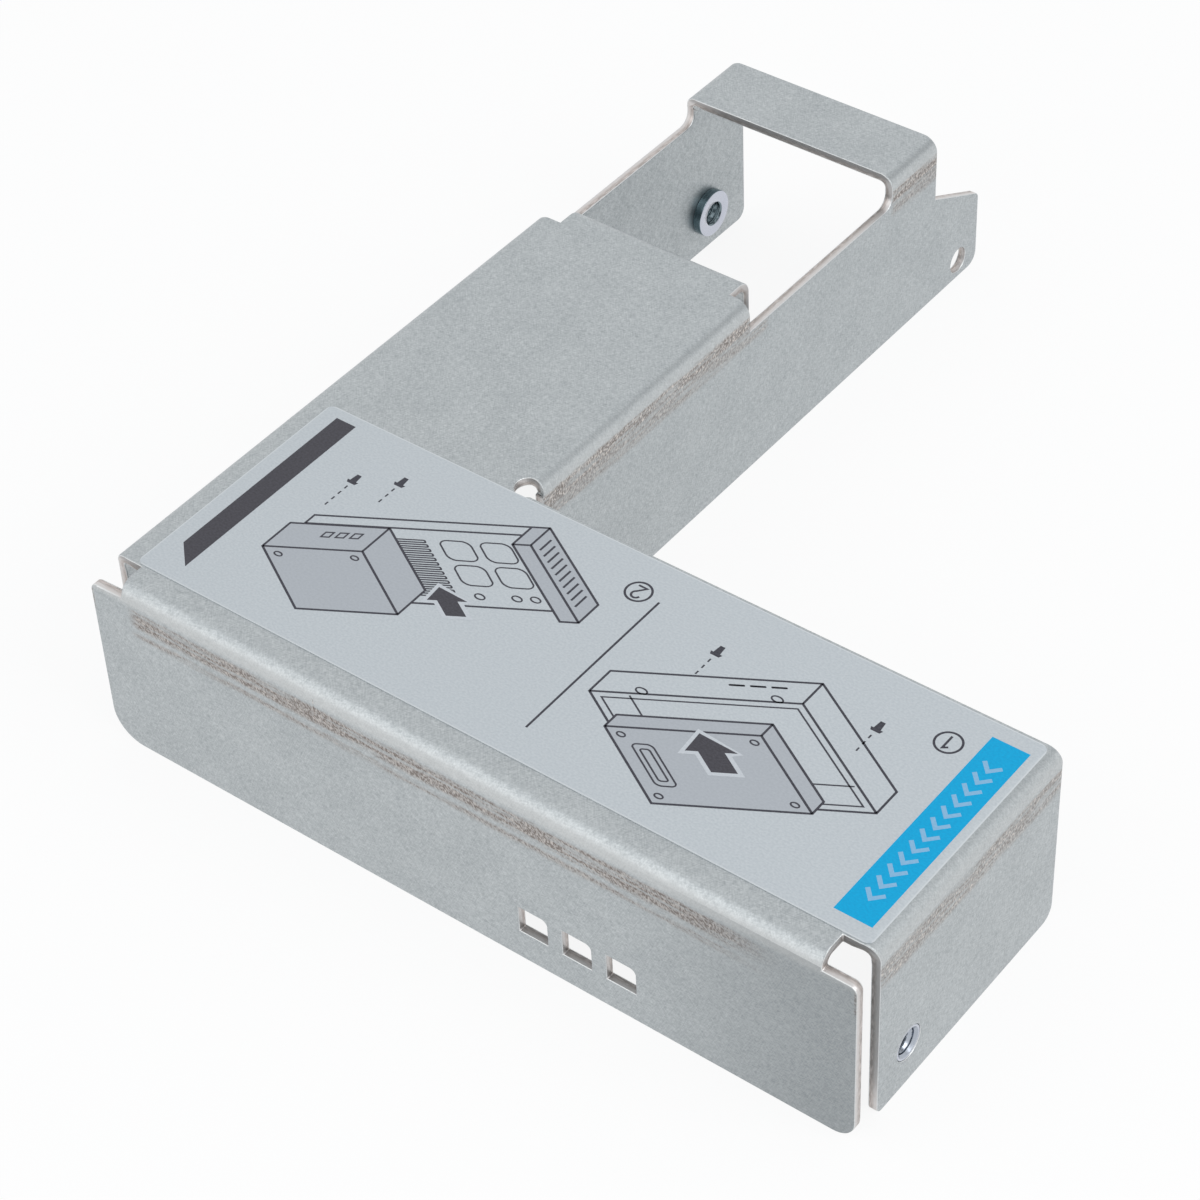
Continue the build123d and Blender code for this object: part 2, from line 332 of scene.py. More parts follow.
colour = blend(tree, product(tree, covers, rub_share), colour, rubbed)
colour = blend(tree, product(tree, pits, pit_share), colour, pitted)
colour = blend(tree, glints, colour, glinting)
# Painted shade on the front flange's right end
colour = blend(tree, painted_end_shade, colour, painted_shade_zinc)

# Cut edges: a smooth band and torn steel in streaks, with a painted highlight on the rounded rim and painted
# shade where a plate's edge looks forward
cut_band, torn_dark, torn_light = linear(210, 207, 206), linear(158, 151, 147), linear(203, 196, 193)
# Painted colours: shade on forward-facing cut edges, and a highlight on the rounded rims
painted_cut_shade, painted_rim_highlight = linear(92, 93, 94), linear(230, 231, 231)
streak_stretch, torn_range, torn_depth = (1.0, 1.0, 5.0), (0.3, 0.7), (0.30, 0.75)
painted_cut_facing, painted_cut_level, painted_cut_share = (-0.5, -0.95), (23.7, 24.5), 0.45
rim_highlight_share = 0.65
bare = mask_of(tree, "sheared")
streaks = speckle(tree, blank, stretch=streak_stretch)
deep = reckon(tree, "ADD", by_axis(tree, blank)["Z"], swing(tree, streaks))
torn = blend(tree, rise(tree, streaks, *torn_range), torn_dark, torn_light)
colour = blend(tree, bare, colour, blend(tree, rise(tree, deep, *torn_depth), cut_band, torn))
facing = by_axis(tree, put(tree, "NewGeometry", {}).outputs["True Normal"])["Y"]
painted_forward_shade = product(
    tree,
    bare,
    rise(tree, facing, *painted_cut_facing, 0.0, painted_cut_share),
    rise(tree, spot["Z"], *painted_cut_level),
)
# Painted shade on cut edges at plate level that face forward, in place of the dark surroundings they mirror
colour = blend(tree, painted_forward_shade, colour, painted_cut_shade)
# Painted highlight along the rounded edges of the sheet
colour = blend(tree, product(tree, mask_of(tree, "rounded"), rim_highlight_share), colour, painted_rim_highlight)
tree.links.new(colour, shader.inputs["Base Color"])

dark_roughness, light_roughness, scuff_roughness = 0.46, 0.36, 0.12
pit_height, coat_bump, coat_relief = -2.0, 0.06, 0.02 * mm
coat_roughness = rise(tree, grain["Tone"], 0.0, 1.0, dark_roughness, light_roughness)
roughness = reckon(tree, "ADD", coat_roughness, product(tree, covers, scuff_roughness))
tree.links.new(roughness, shader.inputs["Roughness"])
height = reckon(tree, "ADD", grain["Relief"], product(tree, pits, pit_height))
roughen(tree, shader, height, coat_bump, coat_relief)

# Sheet mesh: the CAD skin with rounded edges, which carries its place on the blank and its cut and rim faces
flat_enough, sharp_enough = math.radians(0.5), math.radians(40)
cut_reach, rim_reach = 0.5 * sheet, 0.05 * sheet
folded_sheet = new_piece("folded_sheet", *merged_copy("folded_bracket"), zinc_sheet)
skin = folded_sheet.data
shape = bmesh.new()
shape.from_mesh(skin)
bmesh.ops.dissolve_limit(shape, angle_limit=flat_enough, verts=shape.verts, edges=shape.edges)
bmesh.ops.bevel(
    shape,
    geom=[edge for edge in shape.edges if edge.calc_face_angle(0.0) > sharp_enough],
    affect="EDGES",
    offset=edge_rounding,
    segments=edge_steps,
    profile=round_profile,
    clamp_overlap=False,
)
shape.to_mesh(skin)
shape.free()
corners = np.empty(len(skin.vertices) * 3)
skin.vertices.foreach_get("co", corners)
loops = np.empty(len(skin.loops), int)
skin.loops.foreach_get("vertex_index", loops)
starts = np.empty(len(skin.polygons), int)
skin.polygons.foreach_get("loop_start", starts)
corners = np.clip(corners.reshape(-1, 3), sheet_low, sheet_high)
skin.vertices.foreach_set("co", corners.reshape(-1))
skin.update()
places = on_blank(corners)
skin.attributes.new("blank", "FLOAT_VECTOR", "POINT").data.foreach_set("vector", (places / mm).reshape(-1))
depths = places[loops, 2]
through = np.maximum.reduceat(depths, starts) - np.minimum.reduceat(depths, starts)
cut = through > cut_reach
rim = ~cut & (through > rim_reach)
for name, faces in (("sheared", cut), ("rounded", rim)):
    skin.attributes.new(name, "FLOAT", "FACE").data.foreach_set("value", faces.astype(float))
skin.shade_smooth()
evening = folded_sheet.modifiers.new("even_normals", "WEIGHTED_NORMAL")
evening.weight = 100
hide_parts("folded_bracket")

# Press-in nuts
# Turned steel nuts, bright zinc with a blue cast, pressed from inside into holes of the side flanges.
# The shank fills the sheet and the body stands on the inner face. The bore has a coarse screw thread.
shank_radius, body_radius = 2.095 * mm, 3.15 * mm
bore_radius, mouth_radius, outer_mouth_radius = 1.50 * mm, 1.70 * mm, 1.85 * mm
shank_start, body_start, body_end = 0.1 * mm, sheet, 2.35 * mm
thread_pitch, thread_depth = 0.79 * mm, 0.24 * mm
thread_run_out = 0.3 * thread_pitch
corner_ease = 0.12 * mm
turn_steps, bore_steps, ease_steps = 96, 48, 4


def eased(corners, ease):
    """Line through the corners with each inner corner replaced by a parabola that starts ease before it."""
    before, corner, after = corners[:-2], corners[1:-1], corners[2:]
    start = corner + ease * (before - corner) / np.linalg.norm(before - corner, axis=1, keepdims=True)
    end = corner + ease * (after - corner) / np.linalg.norm(after - corner, axis=1, keepdims=True)
    t = np.linspace(0, 1, ease_steps)[:, None, None]
    curves = (1 - t) ** 2 * start + 2 * t * (1 - t) * corner + t**2 * end
    return np.concatenate([corners[:1], curves.swapaxes(0, 1).reshape(-1, 2), corners[-1:]])


def nut_surface(face, inward, y, z):
    """Grid of points of a nut whose shank starts at the flange face at x and that points inward along X.

    A point turns about the nut's axis through angle a at radius r and depth d from the face. The profile
    runs around the shank, the body and the end face, and back through the bore. There the radius grows by
    the thread: the depth of a triangle wave in d / pitch - a / 2 pi, run out at both mouths.
    """
    profile = [
        (shank_start, outer_mouth_radius),
        (shank_start, shank_radius),
        (body_start, shank_radius),
        (body_start, body_radius),
        (body_end, body_radius),
        (body_end, mouth_radius),
    ]
    outside = eased(np.array(profile), corner_ease)
    mouth, outer_mouth = mouth_radius - bore_radius, outer_mouth_radius - bore_radius
    bore_depth = np.linspace(body_end, shank_start, bore_steps)
    widened = np.maximum(bore_depth - body_end + mouth, shank_start + outer_mouth - bore_depth)
    bore = np.stack([bore_depth, bore_radius + np.clip(widened, 0, None)], axis=1)
    depth, radius = np.concatenate([outside, bore[1:-1]]).T
    angle = np.linspace(0, math.tau, turn_steps, endpoint=False)[:, None]
    wave = abs((depth / thread_pitch - angle / math.tau) % 1 - 0.5) * 2
    to_mouth = np.minimum(depth - shank_start - outer_mouth, body_end - mouth - depth)
    in_bore = np.arange(len(depth)) >= len(outside)
    radius = radius + in_bore * np.clip(to_mouth / thread_run_out, 0, 1) * wave * thread_depth
    depth = np.broadcast_to(depth, radius.shape)
    points = np.stack([face + inward * depth, y + radius * np.cos(angle), z + radius * np.sin(angle)], axis=2)
    return points, np.broadcast_to(in_bore, radius.shape)


def wrapped_faces(rows, columns):
    """Quads of a grid of points that closes on itself in both directions."""
    index = np.arange(rows * columns).reshape(rows, columns)
    turned, moved = np.roll(index, -1, axis=0), np.roll(index, -1, axis=1)
    return np.stack([index, moved, np.roll(moved, -1, axis=0), turned], axis=2).reshape(-1, 4)


# Painted shade: the turned sides and the bore carry darker colours than the end face, in place of the dark
# surroundings they mirror
painted_shade_nut_side, painted_shade_nut_side_light = linear(98, 118, 125), linear(150, 165, 172)
nut_end, painted_shade_nut_bore = linear(196, 200, 211), linear(118, 132, 138)
turning_stretch, turning_range, turning_share = (9.0, 0.6, 0.6), (0.35, 0.75), 0.35
dark_roughness, light_roughness = 0.30, 0.16
turning_bump, turning_relief = 0.2, 0.01 * mm
zinc_nut, tree, shader, place = new_material("zinc_nut", Metallic=1.0)
grain = use_group(tree, zinc_grain, {"Place": place})
turning_marks = speckle(tree, place, stretch=turning_stretch)
colour = blend(tree, rise(tree, turning_marks, *turning_range, 0.0, turning_share), painted_shade_nut_side, painted_shade_nut_side_light)
# End face colour, also laid as a painted reflection in the front-right nut's bore
colour = blend(tree, mask_of(tree, "end_face_and_bore_reflection"), colour, nut_end)
colour = blend(tree, mask_of(tree, "threaded"), colour, painted_shade_nut_bore)
tree.links.new(colour, shader.inputs["Base Color"])
roughness = rise(tree, grain["Tone"], 0.0, 1.0, dark_roughness, light_roughness)
tree.links.new(roughness, shader.inputs["Roughness"])
roughen(tree, shader, turning_marks, turning_bump, turning_relief)

end_reach = 0.03 * mm
# Painted reflection: share of the end face's bright colour in the front-right nut's bore, for the white floor
# it mirrors through the hole
right_bore_painted_reflection = 0.8
sharp_enough = math.radians(50)
for node in ("front_left_nut", "rear_left_nut", "front_right_nut"):
    low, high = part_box(node)
    inward = 1 if low[0] < 0 else -1
    face = left_face if inward > 0 else right_face
    points, in_bore = nut_surface(face, inward, (low[1] + high[1]) / 2, (low[2] + high[2]) / 2)
    nut = new_piece("pressed_" + node, points.reshape(-1, 3), wrapped_faces(*points.shape[:2]), zinc_nut)
    shape = bmesh.new()
    shape.from_mesh(nut.data)
    bmesh.ops.recalc_face_normals(shape, faces=shape.faces)
    shape.to_mesh(nut.data)
    shape.free()
    depth = (points[..., 0] - face) * inward
    on_end = ~in_bore & ((abs(depth - body_end) < end_reach) | (abs(depth - shank_start) < end_reach))
    bore_painted_reflection = in_bore * (0.0 if inward > 0 else right_bore_painted_reflection)
    for name, mask in (("end_face_and_bore_reflection", on_end + bore_painted_reflection), ("threaded", in_bore - bore_painted_reflection)):
        attribute = nut.data.attributes.new(name, "FLOAT", "POINT")
        attribute.data.foreach_set("value", np.ascontiguousarray(mask, float).reshape(-1))
    nut.data.shade_smooth()
    nut.data.set_sharp_from_angle(angle=sharp_enough)
    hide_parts(node)

# Label film
# Satin silver-grey polyester film, cut with small round corners and stuck on the bar's plate.
# Its right edge runs a little way around the right fold.
label_low, label_high = (np.array(corner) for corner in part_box("instruction_label"))
film = 0.1 * mm
label_corner = 0.9 * mm
film_columns, film_rows = 160, 24


def film_surface(raised):
    """Grid of points of the film at that height over the sheet's skin.

    One way runs from the left edge to the right one: flat up to the right fold, then around its axis by
    arc length. The other way runs from the front edge to the rear one, and near the left and right edges
    it stops short by a quarter circle, which rounds the corners.
    """
    reach = math.asin((label_high[0] - right_fold) / (fold_radius + film))
    straight, bent = right_fold - label_low[0], reach * fold_radius
    even = np.linspace(0, 1, film_columns)
    run = (straight + bent) * (1 - np.cos(math.pi * even)) / 2
    angle = np.clip(run - straight, 0, None) / fold_radius
    radius = fold_radius + raised
    x = label_low[0] + np.minimum(run, straight) + radius * np.sin(angle)
    z = fold_line + radius * np.cos(angle)
    to_edge = np.minimum(run, straight + bent - run)
    into_corner = np.clip(label_corner - to_edge, 0, label_corner)
    short = label_corner - (label_corner**2 - into_corner**2) ** 0.5
    t = np.linspace(0, 1, film_rows)
    y = (label_low[1] + short)[:, None] * (1 - t) + (label_high[1] - short)[:, None] * t
    return np.stack([np.broadcast_to(x[:, None], y.shape), y, np.broadcast_to(z[:, None], y.shape)], axis=2)


def slab_faces(rows, columns):
    """Quads of a thin slab: an upper and a lower grid of points, joined all around their rim."""
    upper = np.arange(rows * columns).reshape(rows, columns)
    lower = upper + rows * columns
    around = np.concatenate([upper[:-1, 0], upper[-1, :-1], upper[:0:-1, -1], upper[0, :0:-1]])
    ahead = np.roll(around, -1)
    quads = [
        np.stack([upper[:-1, :-1], upper[1:, :-1], upper[1:, 1:], upper[:-1, 1:]], axis=2).reshape(-1, 4),
        np.stack([lower[:-1, :-1], lower[:-1, 1:], lower[1:, 1:], lower[1:, :-1]], axis=2).reshape(-1, 4),
        np.stack([around, around + rows * columns, ahead + rows * columns, ahead], axis=1),
    ]
    return np.concatenate(quads)


# Haze of the film, which also lies over every ink
fibre_stretch, fibre_range = (3.2, 4.4, 3.8), (0.25, 0.75)
film_haze, taken, given = new_group("film_haze", {"Place": "Vector"}, {"Haze": "Float"})
fibres = speckle(film_haze, taken["Place"], stretch=fibre_stretch)
film_haze.links.new(rise(film_haze, fibres, *fibre_range), given["Haze"])

# Painted highlight: the film lightens close to its cut edges
film_dark, film_light, painted_edge_highlight = linear(186, 193, 198), linear(199, 205, 209), linear(207, 212, 215)
edge_highlight_fade = (0.20, 0.08)
dark_roughness, light_roughness = 0.36, 0.48
film_bump, film_relief = 0.06, 0.01 * mm
label_film, tree, shader, place = new_material("label_film", Metallic=0.0)
haze = use_group(tree, film_haze, {"Place": place})["Haze"]
spot = by_axis(tree, place)
to_edge = 1.0
for axis, low, high in (("X", label_low[0], label_high[0]), ("Y", label_low[1], label_high[1])):
    to_edge = reckon(tree, "MINIMUM", to_edge, reckon(tree, "SUBTRACT", spot[axis], low / mm))
    to_edge = reckon(tree, "MINIMUM", to_edge, reckon(tree, "SUBTRACT", high / mm, spot[axis]))
colour = blend(tree, haze, film_dark, film_light)
# Painted highlight along the film's edges
colour = blend(tree, rise(tree, to_edge, *edge_highlight_fade), colour, painted_edge_highlight)
tree.links.new(colour, shader.inputs["Base Color"])
tree.links.new(rise(tree, haze, 0.0, 1.0, dark_roughness, light_roughness), shader.inputs["Roughness"])
roughen(tree, shader, haze, film_bump, film_relief)

sharp_enough = math.radians(40)
points = np.stack([film_surface(film), film_surface(0.0)])
film_piece = new_piece("label_film", points.reshape(-1, 3), slab_faces(film_columns, film_rows), label_film)
film_piece.data.shade_smooth()
film_piece.data.set_sharp_from_angle(angle=sharp_enough)
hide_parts("instruction_label")

# Label print
# Inks printed flat on the film: dark lines, grey fills, light halos and a blue end band with pale marks.
# Two numbered assembly steps stand between the blue band and a dark bar. They are drawn in millimetres on
# a page with its own left and foot, which is then laid on the film upside down.
ink_step = 0.003 * mm
stroke, thin_stroke, mark_stroke, halo_stroke = 0.27, 0.20, 0.5, 0.9
least_bend = 0.4
ring_steps, number_steps = 24, 40
dash_length = 0.55
slot_roundness = 0.3
slant_across, slant_up = 0.866, 0.5


def ribbon(path, width, closed=False):
    """Quads of a line of that width along a path on the page.

    Across each point stand two points, half the width to either side along the mitre of the two runs
    that meet there: the sum of their normals over one plus the product of the normals.
    """
    path = np.asarray(path, float)
    runs = np.diff(np.concatenate([path, path[:1]]) if closed else path, axis=0)
    runs /= np.linalg.norm(runs, axis=1, keepdims=True)
    normals = np.stack([-runs[:, 1], runs[:, 0]], axis=1)
    before = np.roll(normals, 1, axis=0) if closed else np.concatenate([normals[:1], normals])
    after = normals if closed else np.concatenate([normals, normals[-1:]])
    bend = np.maximum(1 + (before * after).sum(axis=1, keepdims=True), least_bend)
    mitre = (before + after) / bend * width / 2
    count = len(path)
    first = np.arange(count if closed else count - 1)
    second = (first + 1) % count
    quads = np.stack([first, first + count, second + count, second], axis=1)
    return np.concatenate([path + mitre, path - mitre]), quads


def filled(outline):
    """One face inside an outline on the page."""
    return np.asarray(outline, float), np.arange(len(outline))[None]


def circle(middle, radius):
    """Points around a circle on the page."""
    angle = np.linspace(0, math.tau, number_steps, endpoint=False)
    return np.stack([middle[0] + radius * np.cos(angle), middle[1] + radius * np.sin(angle)], axis=1)


def dashes(start, end):
    """Short lines with gaps of like length from start to end on the page."""
    start, end = np.asarray(start, float), np.asarray(end, float)
    whole = np.linalg.norm(end - start)
    along = (end - start) / whole
    starts = np.arange(0, whole - dash_length / 2, 2 * dash_length)
    return [ribbon([start + at * along, start + (at + dash_length) * along], thin_stroke) for at in starts]


def drawn(origin, places):
    """Page points of an isometric drawing: a runs up to the right, b up to the left, c straight up."""
    a, b, c = np.asarray(places, float).T
    return np.stack([origin[0] + (a - b) * slant_across, origin[1] + (a + b) * slant_up + c], axis=1)


def box_outline(origin, a, b, c):
    """Outer outline of a drawn box."""
    return drawn(origin, [(0, 0, 0), (a, 0, 0), (a, 0, c), (a, b, c), (0, b, c), (0, b, 0)])


def box_lines(origin, a, b, c):
    """Lines of a drawn box: its outline and the three edges that meet at its near upper corner."""
    return [
        ribbon(box_outline(origin, a, b, c), stroke, closed=True),
        ribbon(drawn(origin, [(a, 0, c), (0, 0, c), (0, b, c)]), stroke),
        ribbon(drawn(origin, [(0, 0, 0), (0, 0, c)]), stroke),
    ]


def flat_ring(origin, a, b, c, radius):
    """Line of a circle that lies flat in the drawing."""
    angle = np.linspace(0, math.tau, ring_steps, endpoint=False)
    around_a, around_b = a + radius * np.cos(angle), b + radius * np.sin(angle)
    around = np.stack([around_a, around_b, np.full(ring_steps, c)], axis=1)
    return ribbon(drawn(origin, around), thin_stroke, closed=True)


def flat_slot(origin, a, b, c, long, wide):
    """Line around a flat slot with round corners that starts at a, b and runs along a."""
    r = min(long, wide) * slot_roundness
    angle = np.linspace(0, math.tau, ring_steps, endpoint=False).reshape(4, -1)
    middles = np.array([(long - r, wide - r), (r, wide - r), (r, r), (long - r, r)])
    around_a = (a + middles[:, :1] + r * np.cos(angle)).reshape(-1)
    around_b = (b + middles[:, 1:] + r * np.sin(angle)).reshape(-1)
    around = np.stack([around_a, around_b, np.full(ring_steps, c)], axis=1)
    return ribbon(drawn(origin, around), thin_stroke, closed=True)


def flat_arrow(origin, a, b, c, size):
    """Outline of a broad arrow that lies flat in the drawing and points down along b."""
    shape = np.array([(-1, 2.4), (1, 2.4), (1, 0), (2, 0), (0, -2.2), (-2, 0), (-1, 0)]) * size
    around = np.stack([a + shape[:, 0], b + shape[:, 1], np.full(len(shape), c)], axis=1)
    return drawn(origin, around)


def screw(tip):
    """Small screw that stands point down on the page: a filled head over a short thread."""
    head = np.array([(-0.75, 1.25), (0.75, 1.25), (0.55, 1.7), (-0.55, 1.7)]) + tip
    thread = np.array([(-0.3, 0.1), (0.3, 0.1), (0.42, 1.25), (-0.42, 1.25)]) + tip
    return [filled(head), filled(thread)]


# First step: a flat drive goes down into an open tray
tray, tray_a, tray_b, tray_c = (-25.0, 33.6), 22.0, 17.0, 3.6
wall, tray_floor, floor_start = 0.9, 0.5, 3.5
far_a, far_b = tray_a - wall, tray_b - wall
tray_rim = [(wall, wall, tray_c), (far_a, wall, tray_c), (far_a, far_b, tray_c), (wall, far_b, tray_c)]
floor_edge = [(far_a, floor_start, tray_floor), (far_a, far_b, tray_floor), (floor_start, far_b, tray_floor)]
tray_lines = box_lines(tray, tray_a, tray_b, tray_c)
tray_lines.append(ribbon(drawn(tray, tray_rim), thin_stroke, closed=True))
tray_lines.append(ribbon(drawn(tray, [tray_rim[2], floor_edge[1]]), thin_stroke))
tray_lines.append(ribbon(drawn(tray, floor_edge), thin_stroke))
tray_lines += [flat_ring(tray, a, 2.6, tray_floor, 0.55) for a in (5.5, 19.5)]
tray_lines += [flat_slot(tray, a, -0.1, 1.2, 1.5, 0.1) for a in (3.0, 5.2, 7.4)]
for tip in ((-33.2, 34.6), (-13.4, 34.9)):
    tray_lines += screw(np.array(tip))
tray_lines += dashes((-33.2, 36.9), (-33.2, 39.4)) + dashes((-13.4, 37.2), (-13.4, 39.8))

drive, drive_a, drive_b, drive_c = (-24.2, 41.4), 16.0, 12.0, 2.0
hole_inset, drive_hole = 1.2, 0.4
holes_a, holes_b = (hole_inset, drive_a - hole_inset), (hole_inset, drive_b - hole_inset)
drive_fill = [filled(box_outline(drive, drive_a, drive_b, drive_c))]
drive_lines = box_lines(drive, drive_a, drive_b, drive_c)
drive_lines += [flat_ring(drive, a, b, drive_c, drive_hole) for a in holes_a for b in holes_b]
drive_lines.append(flat_slot(drive, 12.2, 2.6, drive_c, 2.2, 6.6))
drive_lines.append(flat_slot(drive, 12.8, 3.4, drive_c, 1.0, 5.0))
drive_arrow = flat_arrow(drive, 6.4, 3.2, drive_c, 1.35)

# Second step: the filled tray, now a closed box, slides into a ribbed carrier with a grip at its end
carrier, carrier_a, carrier_b, carrier_c = (14.6, 31.6), 24.0, 13.5, 1.6
carrier_lines = box_lines(carrier, carrier_a, carrier_b, carrier_c)
carrier_lines += [flat_slot(carrier, 11.5, b, carrier_c, 10.5, 0.42) for b in np.arange(2.0, 12.0, 0.8)]
carrier_lines += [flat_slot(carrier, a, b, carrier_c, 3.4, 3.6) for a in (2.2, 6.6) for b in (1.8, 6.2)]
carrier_lines += [flat_ring(carrier, a, 11.7, carrier_c, 0.5) for a in (3.0, 5.0, 9.0)]
for tip in ((31.0, 33.0), (35.6, 35.6)):
    carrier_lines += screw(np.array(tip))
carrier_lines += dashes((31.0, 35.2), (31.0, 38.6)) + dashes((35.6, 37.8), (35.6, 41.4))

grip_a, grip_c = 2.0, 3.4
grip = carrier - np.array([grip_a * slant_across, grip_a * slant_up])
grip_ribs = np.arange(1.5, carrier_b - 1, 1.1)
grip_fill = [filled(box_outline(grip, grip_a, carrier_b, grip_c))]
grip_lines = box_lines(grip, grip_a, carrier_b, grip_c)
grip_lines += [ribbon(drawn(grip, [(0, b, 0.7), (0, b, 2.7)]), stroke) for b in grip_ribs]

boxed, boxed_a, boxed_b, boxed_c = (27.2, 40.6), 11.0, 11.0, 4.6
window, window_foot, window_top = 0.9, 1.4, 2.3
boxed_fill = [filled(box_outline(boxed, boxed_a, boxed_b, boxed_c))]
boxed_lines = box_lines(boxed, boxed_a, boxed_b, boxed_c)
for a in (2.0, 3.6, 5.2):
    foot = [(a, 0, window_foot), (a + window, 0, window_foot)]
    top = [(a + window, 0, window_top), (a, 0, window_top)]
    boxed_lines.append(ribbon(drawn(boxed, foot + top), thin_stroke, closed=True))
boxed_lines += [flat_ring(boxed, a, 1.3, boxed_c, 0.4) for a in (1.3, boxed_a - 1.3)]
boxed_arrow = flat_arrow(carrier, 8.5, 8.4, 6.0, 1.1)

# Step numbers in rings, the line between the steps, the dark bar and the blue band with its chevrons
ring_radius, bow_radius = 1.48, 0.52
ring_middles = ((-40.15, 33.35), (-1.1, 33.25))
marks = [ribbon(circle(middle, ring_radius), stroke, closed=True) for middle in ring_middles]
marks.append(ribbon([(-40.5, 33.95), (-40.0, 34.3), (-40.0, 32.4)], stroke))
bow = circle((-1.1, 33.75), bow_radius)[np.arange(19, -9, -2)]
marks.append(ribbon(np.concatenate([bow, [(-1.62, 32.4), (-0.5, 32.4)]]), stroke))
marks.append(ribbon([(-3.9, 33.35), (-3.9, 56.15)], stroke))
bar = [filled([(41.4, 29.55), (44.2, 29.55), (44.2, 55.2), (41.4, 58.0)])]
band = [filled([(-47.8, 30.1), (-43.3, 30.1), (-43.3, 58.45), (-47.8, 58.45)])]
chevron = np.array([(-46.6, -0.55), (-45.55, 0.55), (-44.5, -0.55)])
chevron_rows = np.arange(34.0, 55.5, 1.9)
band_marks = [ribbon(chevron + (0, row), mark_stroke) for row in chevron_rows]


def ink_material(name, thin, full):
    """Satin ink whose colour shifts between a thin and a full coat."""
    full_roughness, thin_roughness = 0.34, 0.46
    material, tree, shader, place = new_material(name, Metallic=0.0, Specular_IOR_Level=0.2)
    haze = use_group(tree, film_haze, {"Place": place})["Haze"]
    tree.links.new(blend(tree, haze, full, thin), shader.inputs["Base Color"])
    tree.links.new(rise(tree, haze, 0.0, 1.0, full_roughness, thin_roughness), shader.inputs["Roughness"])
    return material


line_ink = ink_material("line_ink", linear(74, 74, 82), linear(58, 58, 66))
solid_ink = ink_material("solid_ink", linear(78, 77, 84), linear(66, 65, 71))
grey_ink = ink_material("grey_ink", linear(181, 186, 192), linear(174, 179, 185))
halo_ink = ink_material("halo_ink", linear(205, 210, 215), linear(196, 201, 207))
blue_ink = ink_material("blue_ink", linear(4, 173, 224), linear(0, 161, 215))
pale_ink = ink_material("pale_ink", linear(142, 188, 222), linear(130, 182, 217))

arrow_outlines = (drive_arrow, boxed_arrow)
print_layers = (
    ("carrier_and_tray_lines", tray_lines + carrier_lines + marks, line_ink, 1),
    ("bar", bar, solid_ink, 1),
    ("band", band, blue_ink, 1),
    ("band_marks", band_marks, pale_ink, 2),
    ("fills", drive_fill + grip_fill + boxed_fill, grey_ink, 2),
    ("drive_and_box_lines", drive_lines + grip_lines + boxed_lines, line_ink, 3),
    ("arrow_halos", [ribbon(outline, halo_stroke, closed=True) for outline in arrow_outlines], halo_ink, 4),
    ("arrows", [filled(outline) for outline in arrow_outlines], solid_ink, 5),
)


def on_label(page, height):
    """Places of page points: the page lies upside down on the plate, and bends around the right fold."""
    run, y = -page[:, 0] * mm, -page[:, 1] * mm
    angle = np.clip(run - right_fold, 0, None) / fold_radius
    radius = fold_radius + film + height
    x = np.minimum(run, right_fold) + radius * np.sin(angle)
    return np.stack([x, y, fold_line + radius * np.cos(angle)], axis=1)


for name, shapes, ink, level in print_layers:
    starts = np.cumsum([0] + [len(points) for points, _ in shapes])
    corners = on_label(np.concatenate([points for points, _ in shapes]), level * ink_step)
    faces = [face + start for (_, some), start in zip(shapes, starts) for face in some]
    printed = new_piece("print_" + name, corners, faces, ink)
    shape = bmesh.new()
    shape.from_mesh(printed.data)
    bmesh.ops.reverse_faces(shape, faces=[face for face in shape.faces if face.normal.z < 0])
    shape.to_mesh(printed.data)
    shape.free()

# Floor, lamps and camera
# A white table top in a white room with two soft lamps, as for a catalogue picture. The room has a dim
# patch to the right and behind, which only mirrored light shows, as a thin dark line along the folds.
# The camera stands to the right of the bar, high up, with a long lens.
table_reach, table_drop = 3.0, 0.02 * mm
table_corners = [(-1, -1, 0), (1, -1, 0), (1, 1, 0), (-1, 1, 0)]
table = bpy.data.meshes.new("table")
table.from_pydata((np.array(table_corners) * table_reach).tolist(), [], [(0, 1, 2, 3)])
table_top = bpy.data.objects.new("table", table)
table_top.location.z = -table_drop
bpy.context.scene.collection.objects.link(table_top)


def seen_or_mirrored(tree):
    """Output that is 1 for rays from the camera, or that mirrors and glass send on."""
    rays = put(tree, "LightPath", {}).outputs
    seen = reckon(tree, "MAXIMUM", rays["Is Camera Ray"], rays["Is Glossy Ray"])
    return reckon(tree, "MAXIMUM", seen, rays["Is Transmission Ray"])


pure_white, table_paint = (1, 1, 1, 1), (0.97, 0.97, 0.97, 1)
table_roughness, table_glow = 0.9, 0.88
table_white = bpy.data.materials.new("table_white")
table_white.use_nodes = True
tree = table_white.node_tree
matt = tree.nodes["Principled BSDF"]
matt.inputs["Base Color"].default_value = table_paint
matt.inputs["Roughness"].default_value = table_roughness
glow = put(tree, "Emission", {"Color": pure_white, "Strength": 1.0})
share = product(tree, seen_or_mirrored(tree), table_glow)
mixed = put(tree, "MixShader", {0: share, 1: matt.outputs[0], 2: glow.outputs[0]})
tree.links.new(mixed.outputs[0], tree.nodes["Material Output"].inputs["Surface"])
table.materials.append(table_white)

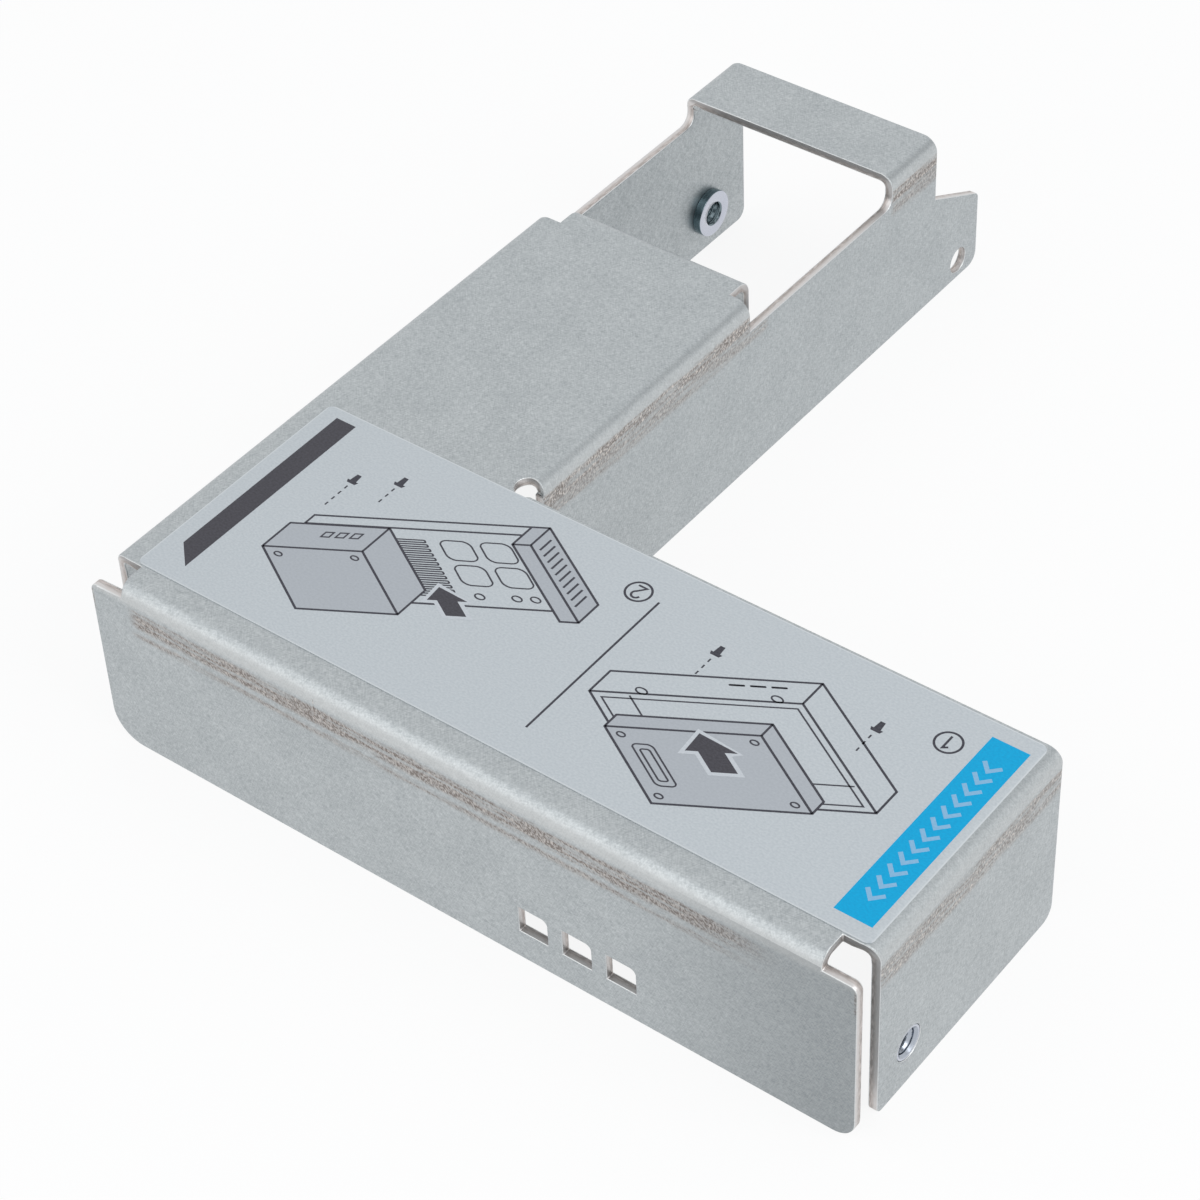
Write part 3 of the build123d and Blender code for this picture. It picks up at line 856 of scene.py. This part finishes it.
sky_colour, sky_strength = (0.96, 0.98, 1.0, 1), 0.75
dim_side = Vector((0.55, 0.62, 0.56)).normalized()
dim_fade, dim_colour = (0.94, 0.995), (0.36, 0.36, 0.36, 1)
world = bpy.data.worlds.new("studio")
bpy.context.scene.world = world
world.use_nodes = True
tree = world.node_tree
sky = tree.nodes["Background"]
sky.inputs["Color"].default_value = sky_colour
sky.inputs["Strength"].default_value = sky_strength
heading = put(tree, "TexCoord", {}).outputs["Generated"]
toward = put(tree, "VectorMath", {0: heading, 1: dim_side}, operation="DOT_PRODUCT").outputs["Value"]
mirrored = put(tree, "LightPath", {}).outputs["Is Glossy Ray"]
room = blend(tree, product(tree, rise(tree, toward, *dim_fade), mirrored), pure_white, dim_colour)
white = put(tree, "Background", {"Color": room, "Strength": 1.0})
mixed = put(tree, "MixShader", {0: seen_or_mirrored(tree), 1: sky.outputs[0], 2: white.outputs[0]})
tree.links.new(mixed.outputs[0], tree.nodes["World Output"].inputs["Surface"])

bracket_middle = Vector((0, 0, 0.012))


def soft_lamp(name, place, wide, high, watts):
    """Rectangular lamp at a place, turned to the middle of the bracket."""
    light = bpy.data.lights.new(name, "AREA")
    light.shape = "RECTANGLE"
    light.size, light.size_y = wide, high
    light.energy = watts
    lamp = bpy.data.objects.new(name, light)
    lamp.location = place
    lamp.rotation_euler = (bracket_middle - Vector(place)).to_track_quat("-Z", "Y").to_euler()
    bpy.context.scene.collection.objects.link(lamp)


soft_lamp("front_left_lamp", (-0.16, -0.42, 0.235), wide=0.42, high=0.48, watts=0.36)
soft_lamp("right_lamp", (0.40, -0.02, 0.33), wide=0.30, high=0.30, watts=0.60)

picture_side = 1200
shift_across, shift_up = -0.5 / picture_side, 0.4 / picture_side
camera_place = (166.21 * mm, -241.89 * mm, 269.01 * mm)
camera_azimuth, camera_elevation = math.radians(39.237), math.radians(42.640)
camera_roll = math.radians(-2.906)
camera = bpy.data.objects.new("camera", bpy.data.cameras.new("camera"))
camera.data.lens, camera.data.sensor_width = 102.155, 36.0
camera.data.shift_x, camera.data.shift_y = shift_across, shift_up
turned = Matrix.Rotation(camera_azimuth, 4, "Z") @ Matrix.Rotation(math.pi / 2 - camera_elevation, 4, "X")
camera.matrix_world = Matrix.Translation(camera_place) @ turned @ Matrix.Rotation(camera_roll, 4, "Z")
bpy.context.scene.collection.objects.link(camera)
bpy.context.scene.camera = camera
bpy.context.scene.view_settings.view_transform = "Standard"
